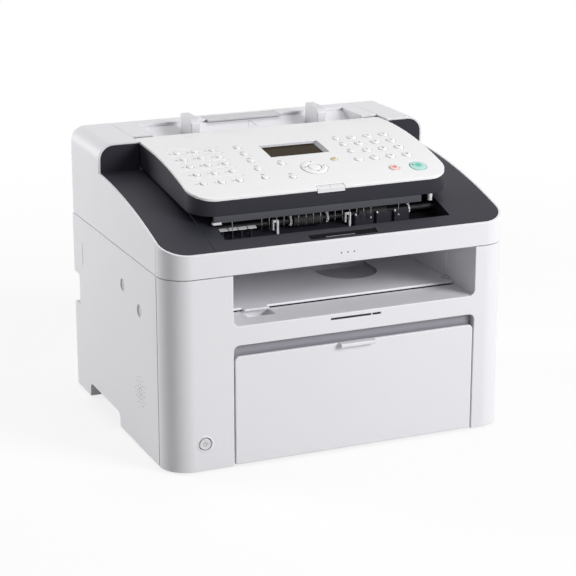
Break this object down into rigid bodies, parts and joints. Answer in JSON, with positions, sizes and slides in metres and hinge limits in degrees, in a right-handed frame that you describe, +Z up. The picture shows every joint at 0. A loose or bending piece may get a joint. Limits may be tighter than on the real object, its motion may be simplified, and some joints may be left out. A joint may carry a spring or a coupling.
{
  "type": "fax machine",
  "caption": "White desk fax machine with a drop-down paper tray door, a lifting upper unit, a tilting keypad panel and a document feeder on top.",
  "frame": {"origin": "on the ground below the middle of the outer box", "axes": "+X to the right seen from the front, +Y to the back, +Z up"},
  "size_m": [0.372, 0.32, 0.304],
  "materials": {
    "white_shell": "fine moulded texture",
    "charcoal_shell": "fine moulded texture",
    "plate_white": "satin",
    "key_white": "satin",
    "key_green": "satin, lightly translucent",
    "key_red": "satin, lightly translucent",
    "key_orange": "satin, lightly translucent",
    "display_glass": "smooth, dark",
    "clear_grey": "smooth, translucent",
    "inner_black": "moulded",
    "frame_steel": "zinc-plated sheet",
    "shaft_steel": "ground",
    "roller_rubber": "matte",
    "foot_rubber": "matte",
    "board_green": "printed circuit board",
    "guide_white": "moulded",
    "support_grey": "moulded"
  },
  "bodies": {
    "base": {"base_frame": "frame_steel", "left_cover": "white_shell", "right_cover": "white_shell", "front_cover": "white_shell", "rear_cover": "white_shell", "cover_screws": "shaft_steel", "hinge_pins": "shaft_steel", "rubber_feet": "foot_rubber", "paper_tray": "support_grey", "sheet_cover": "clear_grey", "toner_cartridge": "inner_black", "laser_unit": "inner_black", "main_board": "board_green", "power_supply": "board_green", "power_inlet": "inner_black", "phone_jacks": "inner_black", "speaker": "inner_black"},
    "upper_unit": {"upper_cover": "white_shell", "upper_frame": "white_shell", "deck_panel": "charcoal_shell", "scan_unit": "inner_black", "document_tray": "white_shell"},
    "control_panel": {"panel_base": "charcoal_shell", "panel_plate": "plate_white", "display": "display_glass", "panel_board": "board_green"},
    "tray_door": {"tray_door": "white_shell"},
    "toner_cover": {"toner_cover": "white_shell"},
    "power_button": {"power_button": "key_white"},
    "pickup_roller": {"pickup_roller": "roller_rubber"},
    "fixing_roller": {"fixing_roller": "shaft_steel"},
    "document_stopper": {"document_stopper": "charcoal_shell"},
    "exit_roller": {"exit_roller": "roller_rubber"},
    "feed_roller": {"feed_roller": "roller_rubber"},
    "document_guide_left": {"document_guide_left": "guide_white"},
    "document_guide_right": {"document_guide_right": "guide_white"},
    "document_support": {"document_support": "support_grey"},
    "release_tab": {"release_tab": "clear_grey"},
    "menu_key": {"menu_key": "key_white"},
    "return_key": {"return_key": "key_white"},
    "saver_key": {"saver_key": "key_orange"},
    "stop_key": {"stop_key": "key_red"},
    "start_key": {"start_key": "key_green"},
    "mode_keys": {"mode_keys": "key_white"},
    "side_keys": {"side_keys": "key_white"},
    "one_touch_keys": {"one_touch_keys": "key_white"},
    "ring_key": {"ring_key": "key_white"},
    "ok_key": {"ok_key": "key_white"},
    "dial_key_1": {"dial_key_1": "key_white"},
    "dial_key_2": {"dial_key_2": "key_white"},
    "dial_key_3": {"dial_key_3": "key_white"},
    "dial_key_4": {"dial_key_4": "key_white"},
    "dial_key_5": {"dial_key_5": "key_white"},
    "dial_key_6": {"dial_key_6": "key_white"},
    "dial_key_7": {"dial_key_7": "key_white"},
    "dial_key_8": {"dial_key_8": "key_white"},
    "dial_key_9": {"dial_key_9": "key_white"},
    "dial_key_star": {"dial_key_star": "key_white"},
    "dial_key_0": {"dial_key_0": "key_white"},
    "dial_key_hash": {"dial_key_hash": "key_white"}
  },
  "joints": [
    {"name": "upper_unit_hinge", "type": "hinge", "parent": "base", "child": "upper_unit", "pos_m": [0, 0.151, 0.2044], "axis": [-1, 0, 0], "range_deg": [0, 45]},
    {"name": "control_panel_hinge", "type": "hinge", "parent": "upper_unit", "child": "control_panel", "pos_m": [0, 0.061, 0.284], "axis": [-1, 0, 0], "range_deg": [0, 50]},
    {"name": "tray_door_hinge", "type": "hinge", "parent": "base", "child": "tray_door", "pos_m": [0.015, -0.147, 0.009], "axis": [1, 0, 0], "range_deg": [0, 85]},
    {"name": "toner_cover_hinge", "type": "hinge", "parent": "base", "child": "toner_cover", "pos_m": [0.015, 0.034, 0.17075], "axis": [-1, 0, 0], "range_deg": [0, 14]},
    {"name": "document_guide_left_slide", "type": "slide", "parent": "upper_unit", "child": "document_guide_left", "axis": [-1, 0, 0], "range_m": [0, 0.0395]},
    {"name": "document_guide_right_slide", "type": "slide", "parent": "upper_unit", "child": "document_guide_right", "axis": [1, 0, 0], "range_m": [0, 0.0395]},
    {"name": "document_support_hinge", "type": "hinge", "parent": "upper_unit", "child": "document_support", "pos_m": [0.005, 0.13675, 0.29075], "axis": [-1, 0, 0], "range_deg": [0, 120]},
    {"name": "document_stopper_hinge", "type": "hinge", "parent": "upper_unit", "child": "document_stopper", "pos_m": [0.003, -0.142, 0.22506], "axis": [-1, 0, 0], "range_deg": [0, 80]},
    {"name": "release_tab_hinge", "type": "hinge", "parent": "control_panel", "child": "release_tab", "pos_m": [0.005, -0.10725, 0.26463], "axis": [-1, 0, 0], "range_deg": [0, 12], "stiffness_Nm_per_rad": 0.02, "springref_deg": -8.59},
    {"name": "power_button_slide", "type": "slide", "parent": "base", "child": "power_button", "axis": [0, 1, 0], "range_m": [0, 0.002], "stiffness_N_per_m": 400, "springref_m": -0.001},
    {"name": "exit_roller_spin", "type": "hinge", "parent": "upper_unit", "child": "exit_roller", "pos_m": [0, -0.098, 0.2305], "axis": [1, 0, 0], "continuous": true},
    {"name": "feed_roller_spin", "type": "hinge", "parent": "upper_unit", "child": "feed_roller", "pos_m": [0, 0.032, 0.23901], "axis": [1, 0, 0], "continuous": true},
    {"name": "pickup_roller_spin", "type": "hinge", "parent": "base", "child": "pickup_roller", "pos_m": [0, -0.002, 0.058], "axis": [1, 0, 0], "continuous": true},
    {"name": "fixing_roller_spin", "type": "hinge", "parent": "base", "child": "fixing_roller", "pos_m": [0, 0.082, 0.158], "axis": [1, 0, 0], "continuous": true},
    {"name": "start_key_press", "type": "slide", "parent": "control_panel", "child": "start_key", "axis": [0, 0.2833, -0.959], "range_m": [0, 0.001], "stiffness_N_per_m": 300, "springref_m": -0.001},
    {"name": "stop_key_press", "type": "slide", "parent": "control_panel", "child": "stop_key", "axis": [0, 0.2812, -0.9596], "range_m": [0, 0.001], "stiffness_N_per_m": 300, "springref_m": -0.001},
    {"name": "saver_key_press", "type": "slide", "parent": "control_panel", "child": "saver_key", "axis": [0, 0.2198, -0.9755], "range_m": [0, 0.001], "stiffness_N_per_m": 300, "springref_m": -0.001},
    {"name": "menu_key_press", "type": "slide", "parent": "control_panel", "child": "menu_key", "axis": [0, 0.2167, -0.9762], "range_m": [0, 0.001], "stiffness_N_per_m": 300, "springref_m": -0.001},
    {"name": "return_key_press", "type": "slide", "parent": "control_panel", "child": "return_key", "axis": [0, 0.2771, -0.9608], "range_m": [0, 0.001], "stiffness_N_per_m": 300, "springref_m": -0.001},
    {"name": "ring_key_press", "type": "slide", "parent": "control_panel", "child": "ring_key", "axis": [0, 0.2471, -0.969], "range_m": [0, 0.001], "stiffness_N_per_m": 300, "springref_m": -0.001},
    {"name": "ok_key_press", "type": "slide", "parent": "control_panel", "child": "ok_key", "axis": [0, 0.2471, -0.969], "range_m": [0, 0.001], "stiffness_N_per_m": 300, "springref_m": -0.001},
    {"name": "one_touch_keys_press", "type": "slide", "parent": "control_panel", "child": "one_touch_keys", "axis": [0, 0.1915, -0.9815], "range_m": [0, 0.001], "stiffness_N_per_m": 300, "springref_m": -0.001},
    {"name": "mode_keys_press", "type": "slide", "parent": "control_panel", "child": "mode_keys", "axis": [0, 0.1915, -0.9815], "range_m": [0, 0.001], "stiffness_N_per_m": 300, "springref_m": -0.001},
    {"name": "side_keys_press", "type": "slide", "parent": "control_panel", "child": "side_keys", "axis": [0, 0.1721, -0.9851], "range_m": [0, 0.001], "stiffness_N_per_m": 300, "springref_m": -0.001},
    {"name": "dial_key_1_press", "type": "slide", "parent": "control_panel", "child": "dial_key_1", "axis": [0, 0.114, -0.9935], "range_m": [0, 0.001], "stiffness_N_per_m": 300, "springref_m": -0.001},
    {"name": "dial_key_2_press", "type": "slide", "parent": "control_panel", "child": "dial_key_2", "axis": [0, 0.114, -0.9935], "range_m": [0, 0.001], "stiffness_N_per_m": 300, "springref_m": -0.001},
    {"name": "dial_key_3_press", "type": "slide", "parent": "control_panel", "child": "dial_key_3", "axis": [0, 0.114, -0.9935], "range_m": [0, 0.001], "stiffness_N_per_m": 300, "springref_m": -0.001},
    {"name": "dial_key_4_press", "type": "slide", "parent": "control_panel", "child": "dial_key_4", "axis": [0, 0.1527, -0.9883], "range_m": [0, 0.001], "stiffness_N_per_m": 300, "springref_m": -0.001},
    {"name": "dial_key_5_press", "type": "slide", "parent": "control_panel", "child": "dial_key_5", "axis": [0, 0.1527, -0.9883], "range_m": [0, 0.001], "stiffness_N_per_m": 300, "springref_m": -0.001},
    {"name": "dial_key_6_press", "type": "slide", "parent": "control_panel", "child": "dial_key_6", "axis": [0, 0.1527, -0.9883], "range_m": [0, 0.001], "stiffness_N_per_m": 300, "springref_m": -0.001},
    {"name": "dial_key_7_press", "type": "slide", "parent": "control_panel", "child": "dial_key_7", "axis": [0, 0.1915, -0.9815], "range_m": [0, 0.001], "stiffness_N_per_m": 300, "springref_m": -0.001},
    {"name": "dial_key_8_press", "type": "slide", "parent": "control_panel", "child": "dial_key_8", "axis": [0, 0.1915, -0.9815], "range_m": [0, 0.001], "stiffness_N_per_m": 300, "springref_m": -0.001},
    {"name": "dial_key_9_press", "type": "slide", "parent": "control_panel", "child": "dial_key_9", "axis": [0, 0.1915, -0.9815], "range_m": [0, 0.001], "stiffness_N_per_m": 300, "springref_m": -0.001},
    {"name": "dial_key_star_press", "type": "slide", "parent": "control_panel", "child": "dial_key_star", "axis": [0, 0.2302, -0.9731], "range_m": [0, 0.001], "stiffness_N_per_m": 300, "springref_m": -0.001},
    {"name": "dial_key_0_press", "type": "slide", "parent": "control_panel", "child": "dial_key_0", "axis": [0, 0.2302, -0.9731], "range_m": [0, 0.001], "stiffness_N_per_m": 300, "springref_m": -0.001},
    {"name": "dial_key_hash_press", "type": "slide", "parent": "control_panel", "child": "dial_key_hash", "axis": [0, 0.2302, -0.9731], "range_m": [0, 0.001], "stiffness_N_per_m": 300, "springref_m": -0.001}
  ],
  "couplings": [
    {"joint": "document_guide_right_slide", "follows": "document_guide_left_slide", "ratio": 1},
    {"joint": "exit_roller_spin", "follows": "feed_roller_spin", "ratio": 1.8333}
  ]
}
